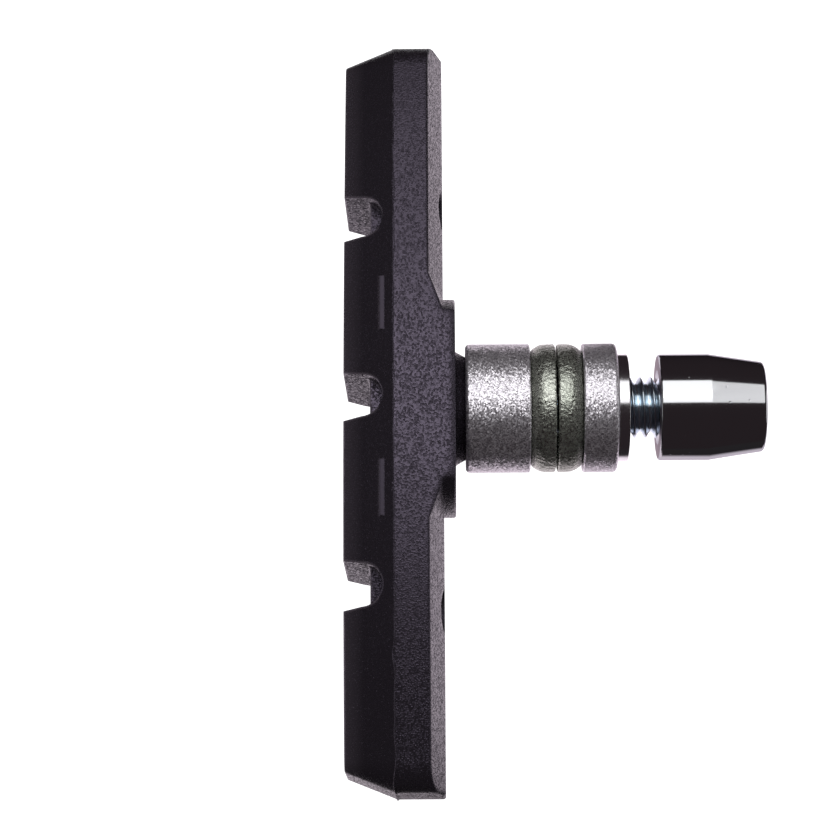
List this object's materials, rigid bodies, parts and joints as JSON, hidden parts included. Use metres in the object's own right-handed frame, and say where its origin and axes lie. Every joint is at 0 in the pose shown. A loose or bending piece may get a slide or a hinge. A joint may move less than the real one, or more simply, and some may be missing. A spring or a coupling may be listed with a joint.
{
  "type": "bicycle rim brake pad",
  "caption": "Curved rubber rim brake pad on a threaded stud, with cup and dome washers that let it be aligned on a brake arm and a round nut with a hexagon socket.",
  "frame": {"origin": "on the stud's axis, in the plane of the braking face", "axes": "+Z along the stud, away from the rim; X along the pad; the convex long edge faces -Y"},
  "size_m": [0.0728, 0.0171, 0.0398],
  "materials": {
    "moulded_rubber": "fine spark-eroded mould grain",
    "insert_steel": "plain pressed sheet",
    "zinc_plated_steel": "blue-white zinc",
    "blasted_steel": "bead-blasted and plated",
    "olive_passivated_steel": "olive passivated",
    "plated_steel": "bright plated",
    "chromed_steel": "polished and chromed"
  },
  "bodies": {
    "pad": {"brake_block": "moulded_rubber", "backing_plate": "insert_steel", "threaded_stud": "zinc_plated_steel", "inner_cup_washer": "blasted_steel", "outer_cup_washer": "blasted_steel", "flat_washer": "plated_steel"},
    "inner_dome": {"inner_dome_washer": "olive_passivated_steel"},
    "outer_dome": {"outer_dome_washer": "olive_passivated_steel"},
    "nut": {"barrel_nut": "chromed_steel"}
  },
  "joints": [
    {"name": "inner_dome_swivel", "type": "hinge", "parent": "pad", "child": "inner_dome", "pos_m": [0, 0, 0.02478], "axis": [0, 1, 0], "range_deg": [-8, 8]},
    {"name": "outer_dome_swivel", "type": "hinge", "parent": "pad", "child": "outer_dome", "pos_m": [0, 0, 0.01529], "axis": [0, 1, 0], "range_deg": [-8, 8]},
    {"name": "nut_travel", "type": "slide", "parent": "pad", "child": "nut", "axis": [0, 0, 1], "range_m": [0, 0.0045]}
  ],
  "couplings": [
    {"joint": "outer_dome_swivel", "follows": "inner_dome_swivel", "ratio": 1}
  ]
}
